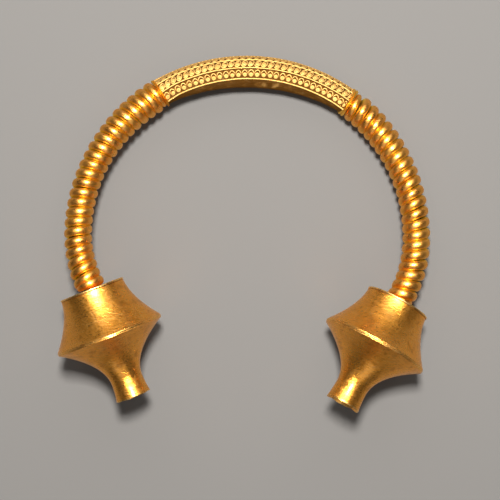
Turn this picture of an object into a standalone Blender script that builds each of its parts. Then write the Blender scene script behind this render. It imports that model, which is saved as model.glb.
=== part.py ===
"""Gold torc: an open neck ring with an ornamented bar, wire-wound arms and double-scotia terminals.

The ring is drawn in a plane of its own, with its centre at the origin, +Y towards the middle of the
bar and +Z towards the face that shows. An empty then lays it down as it lies when loose: on the wide
rims of its two terminals and on the underside of the bar.
"""

import math
from dataclasses import dataclass

import bmesh
import bpy
from mathutils import Matrix, Quaternion, Vector

MM = 0.001
DEG = math.pi / 180.0

# Ring
RING_RADIUS = 106.0 * MM        # centre line of the hoop
CLEARANCE = 0.3 * MM            # air between neighbouring pieces
RING_CENTRE = (1.65 * MM, -2.34 * MM)   # where the ring's centre stands over the floor

# Bar: the ornamented middle of the hoop, a D in section with an oval outer side
BAR_ENDS = (120.0 * DEG, 53.65 * DEG)
BAR_UNITS = 30                  # ornaments in each row
BAR_FLATTENING = 0.8 * MM       # the bar is bent a little less than the arms
OVAL_CENTRE = -2.8 * MM         # along the ring's radius, from the centre line
OVAL_DEPTH = 11.0 * MM          # half the oval, along the radius
OVAL_HEIGHT = 8.8 * MM          # half the oval, across the ring's plane
WIRE_TURNS = (-18.0 * DEG, 18.8 * DEG, 50.6 * DEG, 90.0 * DEG)   # border wires, from the top of the oval
WIRE_WIDTH = 1.0 * MM
WIRE_RISE = 0.5 * MM
UNIT_BORDER = 0.55 * MM         # slope round each raised ornament
UNIT_RISE = 0.5 * MM
PLAIT_LEAN = 0.3                # how far a plait's lobes lean, in ornaments
INNER_BULGE = (1.8 * MM, 5.0 * MM)   # belly of the plain inner side, at the ends and in the middle
INNER_STATIONS = (0.74, 0.38, -0.38, -0.74)   # points across the inner side, in half heights
END_LEAN = 8.0 * DEG            # the bar is closed off slightly askew

# Collars between the bar and the windings
COLLAR_LENGTH = 1.4 * MM
COLLAR_BEAD = 0.45 * MM
COLLAR_POINTS = 21
COLLAR_STATIONS = (-0.66, -0.33, 0.0, 0.33, 0.66)   # points across its inner side, in half heights

# Windings of thick wire
WIRE_RADIUS = 2.6 * MM
TIP_RADIUS = 0.25 * MM          # the wire is drawn out to a point at both ends
TURN_STEPS = 8
WINDING_RADIUS = 6.2 * MM       # of the wire's centre line in the middle of an arm
SWELL_REACH = 40.0 * DEG        # the arm thickens over this stretch next to the bar
END_REACH = 20.0 * DEG          # and over this one next to the terminal
FIRST_TAPER = 0.55              # turns over which the tip at the collar thickens

# Closing discs
DISC_THICKNESS = 1.1 * MM
DISC_LIP = 0.3 * MM             # how far it stands over the terminal's edge

# Terminals
TERMINAL_STEPS = 30
RIM_BAND = 1.2 * MM             # rounded edge where the two cones meet
UPPER_CURVE = 1.7               # exponent of the upper scotia
LOWER_CURVE = 2.0               # and of the lower one
NECK_SHARE = 0.72               # the neck is narrowest at this share of the lower cone
MOUTH_WALL = 0.9 * MM
MOUTH_RECESS = 2.5 * MM
WORN_FLAT = 0.3 * MM            # worn off the lowest point of each rim

GOLD = (0.83, 0.53, 0.17, 1.0)
FILIGREE_GOLD = (0.88, 0.64, 0.27, 1.0)


@dataclass(frozen=True)
class Terminal:
    """A hollow-looking double cone, by its length along the axis and its radii."""

    disc_centre: tuple
    splay: float        # lean of the axis away from straight down, in the ring's plane
    lift: float         # lean of the axis out of the ring's plane
    upper_length: float
    lower_length: float
    disc_radius: float
    rim_radius: float
    neck_radius: float
    mouth_radius: float

    def axis(self):
        """Unit vector from the closing disc towards the mouth."""
        flat = math.cos(self.lift)
        return Vector((math.sin(self.splay) * flat, -math.cos(self.splay) * flat, math.sin(self.lift)))

    def rim_centre(self):
        return Vector((*self.disc_centre, 0.0)) + self.axis() * self.upper_length


@dataclass(frozen=True)
class Arm:
    """One wire-wound arm, from its collar to its closing disc."""

    side: str
    way: int            # +1 where angles grow from the collar to the terminal
    collar_angle: float
    end_angle: float
    bow: float          # how far the arm lies outside the ring's centre line
    sink: float         # how far it comes back inwards at the collar
    curl_start: float   # from this angle the arm drifts inwards
    curl: float         # drift for each radian squared
    swell: float        # extra winding radius at the collar
    end_swell: float    # and at the terminal
    turns: float
    last_taper: float   # turns over which the wire thins at the terminal
    pitch_growth: float     # share by which the pitch grows along the arm
    levelling: float    # share of the turns' lean lost next to the terminal
    terminal: Terminal


LEFT = Arm(side="left", way=1, collar_angle=121.1 * DEG, end_angle=198.5 * DEG,
           bow=0.3 * MM, sink=0.8 * MM, curl_start=176.0 * DEG, curl=23.0 * MM,
           swell=1.25 * MM, end_swell=0.6 * MM,
           turns=24.4, last_taper=0.4, pitch_growth=0.0, levelling=1.0,
           terminal=Terminal((-97.5 * MM, -33.2 * MM), 21.3 * DEG, 0.0, 30.5 * MM, 42.2 * MM,
                             20.7 * MM, 34.7 * MM, 10.1 * MM, 11.2 * MM))
RIGHT = Arm(side="right", way=-1, collar_angle=52.55 * DEG, end_angle=-23.4 * DEG,
            bow=0.8 * MM, sink=0.4 * MM, curl_start=-2.0 * DEG, curl=21.3 * MM,
            swell=0.85 * MM, end_swell=0.2 * MM,
            turns=22.9, last_taper=0.75, pitch_growth=0.2, levelling=0.0,
            terminal=Terminal((94.9 * MM, -41.7 * MM), -29.4 * DEG, 8.0 * DEG, 30.8 * MM, 41.5 * MM,
                              20.4 * MM, 34.1 * MM, 10.1 * MM, 11.0 * MM))


# ---------------------------------------------------------------- small helpers

def clear_scene():
    for old in list(bpy.data.objects):
        bpy.data.objects.remove(old)


def new_collection(name):
    collection = bpy.data.collections.new(name)
    bpy.context.scene.collection.children.link(collection)
    return collection


def gold(name, colour, roughness):
    material = bpy.data.materials.new(name)
    material.use_nodes = True
    shader = material.node_tree.nodes["Principled BSDF"]
    shader.inputs["Base Color"].default_value = colour
    shader.inputs["Metallic"].default_value = 1.0
    shader.inputs["Roughness"].default_value = roughness
    return material


def add_object(name, data, collection, material=None):
    made = bpy.data.objects.new(name, data)
    collection.objects.link(made)
    if material:
        data.materials.append(material)
    return made


def mesh_from(bm, name):
    bmesh.ops.recalc_face_normals(bm, faces=bm.faces)
    mesh = bpy.data.meshes.new(name)
    bm.to_mesh(mesh)
    bm.free()
    return mesh


def smoothstep(x):
    x = min(max(x, 0.0), 1.0)
    return x * x * (3.0 - 2.0 * x)


def evaluated_mesh(source):
    """The object's mesh with its curve bevel or modifiers worked out."""
    graph = bpy.context.evaluated_depsgraph_get()
    return bpy.data.meshes.new_from_object(source.evaluated_get(graph))


def tube(name, points, radius, shares, sides_level, collection, material):
    """A round wire through points, its radius scaled by shares, closed at both ends."""
    curve = bpy.data.curves.new(name, "CURVE")
    curve.dimensions = "3D"
    curve.bevel_depth = radius
    curve.bevel_resolution = sides_level
    curve.use_fill_caps = True
    spline = curve.splines.new("POLY")
    spline.points.add(len(points) - 1)
    for spot, place, share in zip(spline.points, points, shares):
        spot.co = (*place, 1.0)
        spot.radius = share
    wire = add_object(name, curve, collection)
    mesh = evaluated_mesh(wire)
    bpy.data.objects.remove(wire)
    bm = bmesh.new()
    bm.from_mesh(mesh)
    bmesh.ops.remove_doubles(bm, verts=bm.verts, dist=0.00001)
    return add_object(name, mesh_from(bm, name), collection, material)


# ---------------------------------------------------------------- the ring's frame

def radial(angle):
    return Vector((math.cos(angle), math.sin(angle), 0.0))


def tangent(angle):
    """Unit vector along the ring, the way angles grow."""
    return Vector((-math.sin(angle), math.cos(angle), 0.0))


UP = Vector((0.0, 0.0, 1.0))


class ArmFrame:
    """Places a point given along an arm, across it and over it."""

    def __init__(self, arm):
        self.arm = arm
        self.length = abs(arm.end_angle - arm.collar_angle) * RING_RADIUS
        flat_end = tangent(arm.end_angle) * arm.way
        self.end_turn = flat_end.rotation_difference(arm.terminal.axis())

    def angle(self, run):
        return self.arm.collar_angle + self.arm.way * run / RING_RADIUS

    def swelling(self, run):
        """1 at the collar, 0 once the swollen stretch is past."""
        return 1.0 - smoothstep(run / (SWELL_REACH * RING_RADIUS))

    def centre(self, run):
        angle = self.angle(run)
        past = max(0.0, (angle - self.arm.curl_start) * self.arm.way)
        inward = self.arm.curl * past * past + self.arm.sink * self.swelling(run) - self.arm.bow
        return radial(angle) * (RING_RADIUS - inward)

    def axes(self, run):
        """Along the arm, up out of the plane, and sideways, turned to meet the terminal at the end."""
        angle = self.angle(run)
        along = tangent(angle) * self.arm.way
        turn = Quaternion().slerp(self.end_turn, self.nearing_end(run))
        over = turn @ UP
        along = turn @ along
        return along, over, along.cross(over)

    def nearing_end(self, run):
        """0 along the arm, rising to 1 at the terminal."""
        reach = END_REACH * RING_RADIUS
        return smoothstep((run - self.length + reach) / reach)

    def winding_radius(self, run):
        swollen = self.arm.swell * self.swelling(run) + self.arm.end_swell * self.nearing_end(run)
        return WINDING_RADIUS + swollen


# ---------------------------------------------------------------- the bar and its section

def oval_point(turn, proud=0.0):
    """Point on the bar's outer side, as (along the radius, across the plane)."""
    depth, height = OVAL_DEPTH, OVAL_HEIGHT
    normal = Vector((height * math.sin(turn), depth * math.cos(turn))).normalized()
    return (OVAL_CENTRE + depth * math.sin(turn) + normal.x * proud,
            height * math.cos(turn) + normal.y * proud)


def inner_point(share, bulge, proud=0.0):
    """Point on the plain inner side, share running from +1 at the upper edge to -1 at the lower."""
    edge_depth, edge_height = oval_point(WIRE_TURNS[0])
    return (edge_depth - (bulge + proud) * (1.0 - share * share), edge_height * share)


def wire_turns():
    """The border wires from the upper edge, over the outer side, to the lower edge."""
    upper = list(WIRE_TURNS)
    lower = [math.pi - turn for turn in reversed(WIRE_TURNS[:-1])]
    return upper + lower


def bar_section(bulge):
    """Section points with the wire that each belongs to, or None on the plain inner side."""
    half = 0.5 * WIRE_WIDTH / OVAL_DEPTH
    points = []
    for number, turn in enumerate(wire_turns()):
        for step, proud in ((-half, 0.0), (0.0, WIRE_RISE), (half, 0.0)):
            points.append((oval_point(turn + step, proud), number))
    for share in reversed(INNER_STATIONS):
        points.append((inner_point(share, bulge), None))
    return points


def lean_at(share):
    """How far the bar's sections lean, share running from 0 at its left end to 1 at its right."""
    return math.tan(END_LEAN) * (2.0 * share - 1.0) ** 2


def bar_mesh():
    start, end = BAR_ENDS
    step = (end - start) / BAR_UNITS
    # A plait's lobes lean because the wires on its two sides are out of step
    stagger = (0.0, 0.0, PLAIT_LEAN, 0.0, 0.0, 0.0, 0.0)
    bm = bmesh.new()
    rings = []
    for column in range(BAR_UNITS + 1):
        share = column / BAR_UNITS
        bulge = INNER_BULGE[0] + (INNER_BULGE[1] - INNER_BULGE[0]) * math.sin(math.pi * share)
        radius = RING_RADIUS - BAR_FLATTENING * math.sin(math.pi * share)
        inside = 0 < column < BAR_UNITS
        ring = []
        for (depth, height), wire in bar_section(bulge):
            shift = stagger[wire] if inside and wire is not None else 0.0
            angle = start + step * (column + shift)
            place = radial(angle) * (radius + depth) + tangent(angle) * depth * lean_at(share)
            ring.append(bm.verts.new(place + UP * height))
        rings.append(ring)
    count = len(rings[0])
    ornaments = []
    for ring, following in zip(rings, rings[1:]):
        for spot in range(count):
            after = (spot + 1) % count
            face = bm.faces.new((ring[spot], ring[after], following[after], following[spot]))
            # Rows lie between one wire's last point and the next wire's first, on the upper half
            if spot in (2, 5, 8):
                ornaments.append(face)
    bm.faces.new(rings[0])
    bm.faces.new(reversed(rings[-1]))
    bmesh.ops.recalc_face_normals(bm, faces=bm.faces)
    bmesh.ops.inset_individual(bm, faces=ornaments, thickness=UNIT_BORDER, depth=UNIT_RISE,
                               use_even_offset=True)
    bmesh.ops.triangulate(bm, faces=bm.faces)
    return mesh_from(bm, "hoop")


def rod_radius(frame, run):
    """The rod inside a winding, clear of the flats between the wire's steps."""
    slack = math.cos(math.pi / TURN_STEPS)
    return slack * frame.winding_radius(max(run, 0.0)) - WIRE_RADIUS - CLEARANCE


def build_hoop(collection, cutters, material):
    """The bar with a round rod on each side, which carries the windings and the terminals."""
    hoop = add_object("hoop", bar_mesh(), collection, material)
    for arm in (LEFT, RIGHT):
        frame = ArmFrame(arm)
        runs = [-5.0 * MM + (frame.length + 5.0 * MM - 0.5 * DISC_THICKNESS - CLEARANCE) * step / 14
                for step in range(15)]
        radii = [rod_radius(frame, run) for run in runs]
        rod = tube(f"rod_{arm.side}", [frame.centre(run) for run in runs], radii[0],
                   [radius / radii[0] for radius in radii], 2, cutters, None)
        rod.hide_render = True
        rod.display_type = "WIRE"
        join = hoop.modifiers.new(f"rod {arm.side}", "BOOLEAN")
        join.operation = "UNION"
        join.solver = "EXACT"
        join.object = rod
    return hoop


# ---------------------------------------------------------------- collars

def collar_outline(proud):
    """The bar's smooth outline at its ends, grown by proud."""
    outer = COLLAR_POINTS - len(COLLAR_STATIONS)
    first, last = WIRE_TURNS[0], math.pi - WIRE_TURNS[0]
    points = [oval_point(first + (last - first) * step / (outer - 1), proud) for step in range(outer)]
    points += [inner_point(share, INNER_BULGE[0], proud) for share in COLLAR_STATIONS]
    return points


def build_collar(arm, collection, material):
    """A flat ring with two beads round its rim, closing off the bar's end."""
    frame = ArmFrame(arm)
    hole = rod_radius(frame, 0.0) + 1.4 * CLEARANCE
    centre_depth = arm.bow - arm.sink
    beads = (0.1, 1.0, 0.25, 1.0, 0.1)
    bm = bmesh.new()
    loops = []
    for number, bead in enumerate(beads):
        back = COLLAR_LENGTH * number / (len(beads) - 1)
        loops.append([(point, back) for point in collar_outline(COLLAR_BEAD * bead)])
    for back in (COLLAR_LENGTH, 0.0):
        circle = []
        for depth, height in collar_outline(0.0):
            turn = math.atan2(height, depth - centre_depth)
            circle.append(((centre_depth + hole * math.cos(turn), hole * math.sin(turn)), back))
        loops.append(circle)
    rings = []
    for loop in loops:
        ring = []
        for (depth, height), back in loop:
            place = radial(arm.collar_angle) * (RING_RADIUS + depth)
            along = depth * math.tan(END_LEAN) - arm.way * back
            ring.append(bm.verts.new(place + tangent(arm.collar_angle) * along + UP * height))
        rings.append(ring)
    for ring, following in zip(rings, rings[1:] + rings[:1]):
        for spot in range(COLLAR_POINTS):
            after = (spot + 1) % COLLAR_POINTS
            bm.faces.new((ring[spot], ring[after], following[after], following[spot]))
    bmesh.ops.triangulate(bm, faces=bm.faces)
    return add_object(f"collar_{arm.side}", mesh_from(bm, "collar"), collection, material)


# ---------------------------------------------------------------- windings

def tip_share(turns_in, taper):
    """Radius of the drawn-out wire, as a share, so many turns from its tip."""
    least = TIP_RADIUS / WIRE_RADIUS
    return least + (1.0 - least) * min(1.0, turns_in / taper)


def wire_track(arm, frame):
    """Each point of the coiled wire: its run along the arm, its turn and its radius."""
    step_over = 2.0 * TIP_RADIUS + CLEARANCE
    touching = CLEARANCE + WIRE_RADIUS
    end_face = frame.length - 0.5 * DISC_THICKNESS
    first_plane = math.tan(END_LEAN) * frame.winding_radius(0.0)
    first_run = first_plane + touching + step_over
    full_turns = arm.turns - 1.0 - arm.last_taper
    pitch = (end_face - touching - first_run) / full_turns
    # A levelled turn bulges a little past its ends, so it stops short of the disc
    spare = CLEARANCE * arm.levelling
    last_run = end_face - touching - spare + 0.25 * pitch * arm.levelling
    steps = round(arm.turns * TURN_STEPS)
    track = []
    for step in range(steps + 1):
        turned = arm.turns * step / steps
        phase = math.pi / 2.0 + 2.0 * math.pi * turned
        before_end = arm.turns - turned
        if turned < 1.0:
            share = tip_share(turned, FIRST_TAPER)
            climb = step_over * smoothstep((turned - 0.6) / 0.4)
            run = first_plane * math.sin(phase) + CLEARANCE + WIRE_RADIUS * share + climb
        elif before_end < arm.last_taper:
            share = tip_share(before_end, arm.last_taper)
            run = end_face - CLEARANCE - WIRE_RADIUS * share - spare * before_end / arm.last_taper
        else:
            share = 1.0
            through = (turned - 1.0) / full_turns
            eased = (through + arm.pitch_growth * through ** 3 / 3.0) / (1.0 + arm.pitch_growth / 3.0)
            run = first_run + (last_run - first_run) * eased
            run -= 0.25 * pitch * math.sin(phase) * arm.levelling * frame.nearing_end(run)
        track.append((run, phase, share))
    return track


def build_winding(arm, collection, material):
    frame = ArmFrame(arm)
    points = []
    shares = []
    for run, phase, share in wire_track(arm, frame):
        along, over, across = frame.axes(run)
        # The tip lies on the rod, so a thin wire runs nearer the arm's centre
        reach = frame.winding_radius(run) - WIRE_RADIUS * (1.0 - share)
        points.append(frame.centre(run) + (over * math.cos(phase) + across * math.sin(phase)) * reach)
        shares.append(share)
    return tube(f"winding_{arm.side}", points, WIRE_RADIUS, shares, 1, collection, material)


# ---------------------------------------------------------------- discs and terminals

def turned(name, profile, steps, collection, material):
    """A solid of revolution about Z from a profile that runs down its outer side."""
    mesh = bpy.data.meshes.new(name)
    mesh.from_pydata([(radius, 0.0, height) for radius, height in profile],
                     [(spot, spot + 1) for spot in range(len(profile) - 1)], [])
    made = add_object(name, mesh, collection, material)
    screw = made.modifiers.new("turn", "SCREW")
    screw.steps = steps
    screw.render_steps = steps
    screw.use_merge_vertices = True
    screw.merge_threshold = 0.00001
    screw.use_smooth_shade = True
    return made


def stand_on_axis(made, terminal):
    """Turns a piece drawn down -Z from its disc so that it hangs along the terminal's axis."""
    made.rotation_mode = "QUATERNION"
    made.rotation_quaternion = Vector((0.0, 0.0, -1.0)).rotation_difference(terminal.axis())
    made.location = (*terminal.disc_centre, 0.0)


def terminal_profile(terminal):
    """Outline from the centre of the disc seat, down both scotias, to the centre of the mouth."""
    top = -0.5 * DISC_THICKNESS - CLEARANCE
    rim = -terminal.upper_length
    mouth = rim - terminal.lower_length
    neck = rim - NECK_SHARE * terminal.lower_length
    points = [(0.0, top)]
    upper_steps = 5
    for step in range(upper_steps + 1):
        share = step / upper_steps
        height = top + (rim + 0.5 * RIM_BAND - top) * share
        grown = (terminal.rim_radius - terminal.disc_radius) * share ** UPPER_CURVE
        points.append((terminal.disc_radius + grown, height))
    lower_steps = 7
    start = rim - 0.5 * RIM_BAND
    for step in range(lower_steps + 1):
        share = (step / lower_steps) ** 1.15
        height = start + (neck - start) * share
        left_over = (terminal.rim_radius - terminal.neck_radius) * (1.0 - share) ** LOWER_CURVE
        points.append((terminal.neck_radius + left_over, height))
    points.append((terminal.mouth_radius, mouth))
    points.append((terminal.mouth_radius - MOUTH_WALL, mouth))
    points.append((terminal.mouth_radius - MOUTH_WALL - 0.3 * MM, mouth + MOUTH_RECESS))
    points.append((0.0, mouth + MOUTH_RECESS))
    return points


def build_terminal(arm, collection, material):
    terminal = arm.terminal
    made = turned(f"terminal_{arm.side}", terminal_profile(terminal), TERMINAL_STEPS, collection, material)
    stand_on_axis(made, terminal)
    return made


def build_disc(arm, collection, material):
    terminal = arm.terminal
    radius = terminal.disc_radius + DISC_LIP
    half = 0.5 * DISC_THICKNESS
    profile = [(0.0, half), (radius, half), (radius, -half), (0.0, -half)]
    made = turned(f"closing_disc_{arm.side}", profile, TERMINAL_STEPS, collection, material)
    stand_on_axis(made, terminal)
    return made


# ---------------------------------------------------------------- lying down

def lowest_of_circle(centre, axis, radius, up):
    across = up - axis * up.dot(axis)
    return centre - across.normalized() * radius


def resting_up(bar):
    """The floor's normal, and the ring centre's height over it, once all three feet touch."""
    up = Vector((0.0, -0.15, 1.0)).normalized()
    feet = []
    for _ in range(12):
        feet = [lowest_of_circle(arm.terminal.rim_centre(), arm.terminal.axis(), arm.terminal.rim_radius, up)
                + up * WORN_FLAT for arm in (LEFT, RIGHT)]
        feet.append(min((spot.co.copy() for spot in bar.data.vertices), key=up.dot))
        up = (feet[1] - feet[0]).cross(feet[2] - feet[0]).normalized()
    return up, -up.dot(feet[0])


def lay_down(holder, bar):
    up, height = resting_up(bar)
    y_axis = (Vector((0.0, 1.0, 0.0)) - up * up.y).normalized()
    x_axis = y_axis.cross(up)
    turn = Matrix((x_axis, y_axis, up)).to_4x4()
    holder.matrix_world = Matrix.Translation((*RING_CENTRE, height)) @ turn


def wear_flats(terminals, cutters):
    """Takes the worn flat off each rim where it meets the floor."""
    bm = bmesh.new()
    bmesh.ops.create_cube(bm, size=1.0)
    bmesh.ops.scale(bm, vec=(0.4, 0.4, 0.02), verts=bm.verts)
    bmesh.ops.translate(bm, vec=(0.0, 0.0, -0.01), verts=bm.verts)
    floor = add_object("floor_cutter", mesh_from(bm, "floor_cutter"), cutters)
    floor.hide_render = True
    floor.display_type = "WIRE"
    for terminal in terminals:
        cut = terminal.modifiers.new("worn flat", "BOOLEAN")
        cut.operation = "DIFFERENCE"
        cut.solver = "EXACT"
        cut.object = floor


def main():
    clear_scene()
    torc = new_collection("gold_torc")
    cutters = new_collection("cutters")
    holder = bpy.data.objects.new("lying_pose", None)
    torc.objects.link(holder)

    filigree = gold("filigree gold", FILIGREE_GOLD, 0.32)
    wire = gold("wire gold", GOLD, 0.22)
    sheet = gold("sheet gold", GOLD, 0.3)

    pieces = [build_hoop(torc, cutters, filigree)]
    terminals = []
    for arm in (LEFT, RIGHT):
        pieces.append(build_collar(arm, torc, wire))
        pieces.append(build_winding(arm, torc, wire))
        pieces.append(build_disc(arm, torc, sheet))
        terminals.append(build_terminal(arm, torc, sheet))
    for piece in pieces + terminals:
        piece.parent = holder
    for rod in cutters.objects:
        rod.parent = holder
    lay_down(holder, pieces[0])
    wear_flats(terminals, cutters)
    for piece in pieces:
        if piece.type == "MESH":
            piece.data.shade_smooth()
            piece.data.set_sharp_from_angle(angle=35.0 * DEG)


main()
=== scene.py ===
"""A gold torc, dressed and lit: an ornamented bar, two wire-wound arms and two terminals.

Every piece is shaped in the ring's own plane, with the ring's centre at the origin, +Y towards the
middle of the bar and +Z out of the face that shows. The finished piece is then laid on the floor.
"""

import logging
import math
from collections.abc import Callable, Iterable, Sequence
from dataclasses import dataclass
from enum import Enum

import bmesh
import bpy
from mathutils import Matrix, Quaternion, Vector, noise

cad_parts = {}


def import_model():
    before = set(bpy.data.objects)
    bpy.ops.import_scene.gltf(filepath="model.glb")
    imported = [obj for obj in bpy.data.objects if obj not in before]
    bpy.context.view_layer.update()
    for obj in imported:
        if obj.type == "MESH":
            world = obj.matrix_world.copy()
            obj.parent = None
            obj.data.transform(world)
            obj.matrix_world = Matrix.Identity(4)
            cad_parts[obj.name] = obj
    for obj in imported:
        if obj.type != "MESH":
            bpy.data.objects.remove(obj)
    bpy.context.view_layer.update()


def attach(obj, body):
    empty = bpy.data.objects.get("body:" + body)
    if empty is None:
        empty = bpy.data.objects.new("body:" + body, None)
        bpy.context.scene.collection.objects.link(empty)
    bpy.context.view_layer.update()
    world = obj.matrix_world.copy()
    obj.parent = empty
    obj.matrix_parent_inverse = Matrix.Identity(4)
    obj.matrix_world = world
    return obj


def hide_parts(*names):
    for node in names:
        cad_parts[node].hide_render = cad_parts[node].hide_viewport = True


LOG = logging.getLogger("torc")
MM = 0.001
DEG = math.pi / 180.0
TURN = 2.0 * math.pi
UP = Vector((0.0, 0.0, 1.0))
WELD = 0.002 * MM
SEAM = 0.0002 * MM
DISC_THICKNESS = 1.1 * MM
WIRE_THICKNESS = 5.5 * MM

Pair = tuple[float, float]
Triple = tuple[float, float, float]


def clamped(x: float) -> float:
    """Keeps x between 0 and 1."""
    return min(max(x, 0.0), 1.0)


def smoothstep(x: float) -> float:
    """Eases x from 0 to 1."""
    x = clamped(x)
    return x * x * (3.0 - 2.0 * x)


def wobble(seed: float, where: float) -> float:
    """A value between about -1 and 1 that drifts smoothly with where."""
    return 1.6 * noise.noise(Vector((where, 3.7 * seed, 1.3 * seed)))


def spoke(around: float) -> Pair:
    """The cosine and sine at a share of the way round."""
    return math.cos(TURN * around), math.sin(TURN * around)


def put(name: str, data: bpy.types.ID) -> bpy.types.Object:
    """Puts a new object in the scene.

    Args:
        name: The object's name.
        data: Its mesh, light or camera.

    Returns:
        The object.
    """
    thing = bpy.data.objects.new(name, data)
    bpy.context.scene.collection.objects.link(thing)
    return thing


# ---- the ring and its arms


@dataclass(frozen=True)
class Ring:
    """The ring's plane and how it lies on the floor."""

    radius: float = 106.0 * MM
    centre: Pair = (1.65 * MM, -2.34 * MM)
    height: float = 22.8906 * MM
    lean_forward: float = 7.29598 * DEG
    lean_aside: float = 2.343 * DEG

    def radial(self, angle: float) -> Vector:
        """Unit vector out from the ring's centre."""
        return Vector((math.cos(angle), math.sin(angle), 0.0))

    def along(self, angle: float) -> Vector:
        """Unit vector along the ring, the way angles grow."""
        return Vector((-math.sin(angle), math.cos(angle), 0.0))

    def lying(self) -> Matrix:
        """Lays the ring down.

        Returns:
            The move from the ring's own frame onto the floor.
        """
        up = Vector((-math.tan(self.lean_aside), -math.tan(self.lean_forward), 1.0)).normalized()
        ahead = (Vector((0.0, 1.0, 0.0)) - up * up.y).normalized()
        turn = Matrix((ahead.cross(up), ahead, up)).to_4x4()
        return Matrix.Translation((*self.centre, self.height)) @ turn


@dataclass(frozen=True)
class Dent:
    """A shallow hollow in a terminal's wall: its place, its reach along and round, its depth."""

    height: float
    azimuth: float
    along: float
    round: float
    depth: float


@dataclass(frozen=True)
class TerminalSizes:
    """A double cone, by its length along its axis and its radii."""

    disc_centre: Pair
    splay: float
    lift: float
    upper_length: float
    lower_length: float
    disc_radius: float
    rim_radius: float
    neck_radius: float
    mouth_radius: float

    def axis(self) -> Vector:
        """Unit vector from the closing disc towards the mouth."""
        flat = math.cos(self.lift)
        return Vector((math.sin(self.splay) * flat, -math.cos(self.splay) * flat,
                       math.sin(self.lift)))

    def stand(self) -> Matrix:
        """Stands the terminal on its arm.

        Returns:
            The move to its place from a piece turned about Z, mouth down and X facing up.
        """
        axis = self.axis()
        over = (UP - axis * axis.dot(UP)).normalized()
        turn = Matrix((over, over.cross(axis), -axis)).transposed().to_4x4()
        return Matrix.Translation((*self.disc_centre, 0.0)) @ turn


@dataclass(frozen=True)
class Lean:
    """How the turns lean at one angle of the ring, in degrees of it.

    Sideways is how far the side where each turn ends runs ahead; near is how far the face that
    shows runs ahead.
    """

    angle: float
    sideways: float
    near: float


@dataclass(frozen=True)
class Cut:
    """A plane across the hoop: its angle at the section's middle and its slopes."""

    angle: float
    outward: float
    upward: float

    def along(self, depth: float, height: float) -> float:
        """How far the plane runs along the ring at a point of the section."""
        return self.outward * depth - self.upward * height


@dataclass(frozen=True)
class Arm:
    """One wire-wound arm, from its collar to its closing disc."""

    side: str
    way: int
    collar_angle: float
    end_angle: float
    bow: float
    sink: float
    curl_start: float
    curl: float
    swell: float
    end_swell: float
    bar_end: Cut
    wire_start: Cut
    turns: float
    last_taper: float
    first_crest: float
    last_crest: float
    pitch_growth: float
    leans: tuple[Lean, ...]
    terminal: TerminalSizes
    dents: tuple[Dent, ...]


LEFT = Arm(
    side="left", way=1, collar_angle=121.1 * DEG, end_angle=198.5 * DEG,
    bow=0.3 * MM, sink=0.8 * MM, curl_start=176.0 * DEG, curl=23.0 * MM,
    swell=1.25 * MM, end_swell=0.6 * MM,
    bar_end=Cut(120.6 * DEG, 0.04, 0.073), wire_start=Cut(121.4 * DEG, 0.076, 0.04),
    turns=24.55, last_taper=0.8, first_crest=123.2 * DEG, last_crest=197.75 * DEG,
    pitch_growth=0.0,
    leans=(Lean(121.0, 0.3, -0.2), Lean(129.0, 0.4, -0.55), Lean(137.0, 0.1, -0.45),
           Lean(150.0, 0.05, -0.35), Lean(165.0, 0.0, -0.25), Lean(183.0, 0.05, -0.05),
           Lean(189.0, 0.5, -0.3), Lean(197.0, 0.45, -0.2)),
    terminal=TerminalSizes(
        disc_centre=(-97.5 * MM, -33.2 * MM), splay=21.3 * DEG, lift=0.0,
        upper_length=30.5 * MM, lower_length=42.2 * MM, disc_radius=20.7 * MM,
        rim_radius=34.7 * MM, neck_radius=10.1 * MM, mouth_radius=11.2 * MM),
    dents=(Dent(51.8 * MM, 5.5 * DEG, 2.0 * MM, 2.6 * MM, 0.4 * MM),
           Dent(59.6 * MM, 36.0 * DEG, 0.8 * MM, 1.3 * MM, 0.35 * MM),
           Dent(25.8 * MM, -33.7 * DEG, 0.7 * MM, 2.4 * MM, 0.12 * MM),
           Dent(38.0 * MM, -28.0 * DEG, 5.0 * MM, 6.0 * MM, 0.25 * MM)))
RIGHT = Arm(
    side="right", way=-1, collar_angle=52.55 * DEG, end_angle=-23.4 * DEG,
    bow=0.8 * MM, sink=0.4 * MM, curl_start=-2.0 * DEG, curl=21.3 * MM,
    swell=0.85 * MM, end_swell=0.2 * MM,
    bar_end=Cut(54.07 * DEG, 0.06, 0.2), wire_start=Cut(51.97 * DEG, 0.08, 0.02),
    turns=22.9, last_taper=0.75, first_crest=49.78 * DEG, last_crest=-21.85 * DEG,
    pitch_growth=0.08,
    leans=(Lean(52.0, 0.1, 0.05), Lean(44.0, 0.1, 0.1), Lean(34.0, -0.1, -0.45),
           Lean(24.0, 0.1, -0.5), Lean(17.0, 0.45, -0.5), Lean(9.0, 0.35, -0.3),
           Lean(2.0, 0.1, 0.0), Lean(-6.0, 0.35, -0.2), Lean(-14.0, 0.1, 0.0),
           Lean(-21.0, 0.1, -0.1)),
    terminal=TerminalSizes(
        disc_centre=(94.9 * MM, -41.7 * MM), splay=-29.4 * DEG, lift=8.0 * DEG,
        upper_length=30.8 * MM, lower_length=41.5 * MM, disc_radius=20.4 * MM,
        rim_radius=34.1 * MM, neck_radius=10.1 * MM, mouth_radius=11.0 * MM),
    dents=(Dent(43.5 * MM, 16.0 * DEG, 0.7 * MM, 3.2 * MM, 0.3 * MM),
           Dent(62.0 * MM, -35.0 * DEG, 1.4 * MM, 2.4 * MM, 0.3 * MM),
           Dent(40.0 * MM, 30.0 * DEG, 5.0 * MM, 5.0 * MM, 0.22 * MM)))


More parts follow.
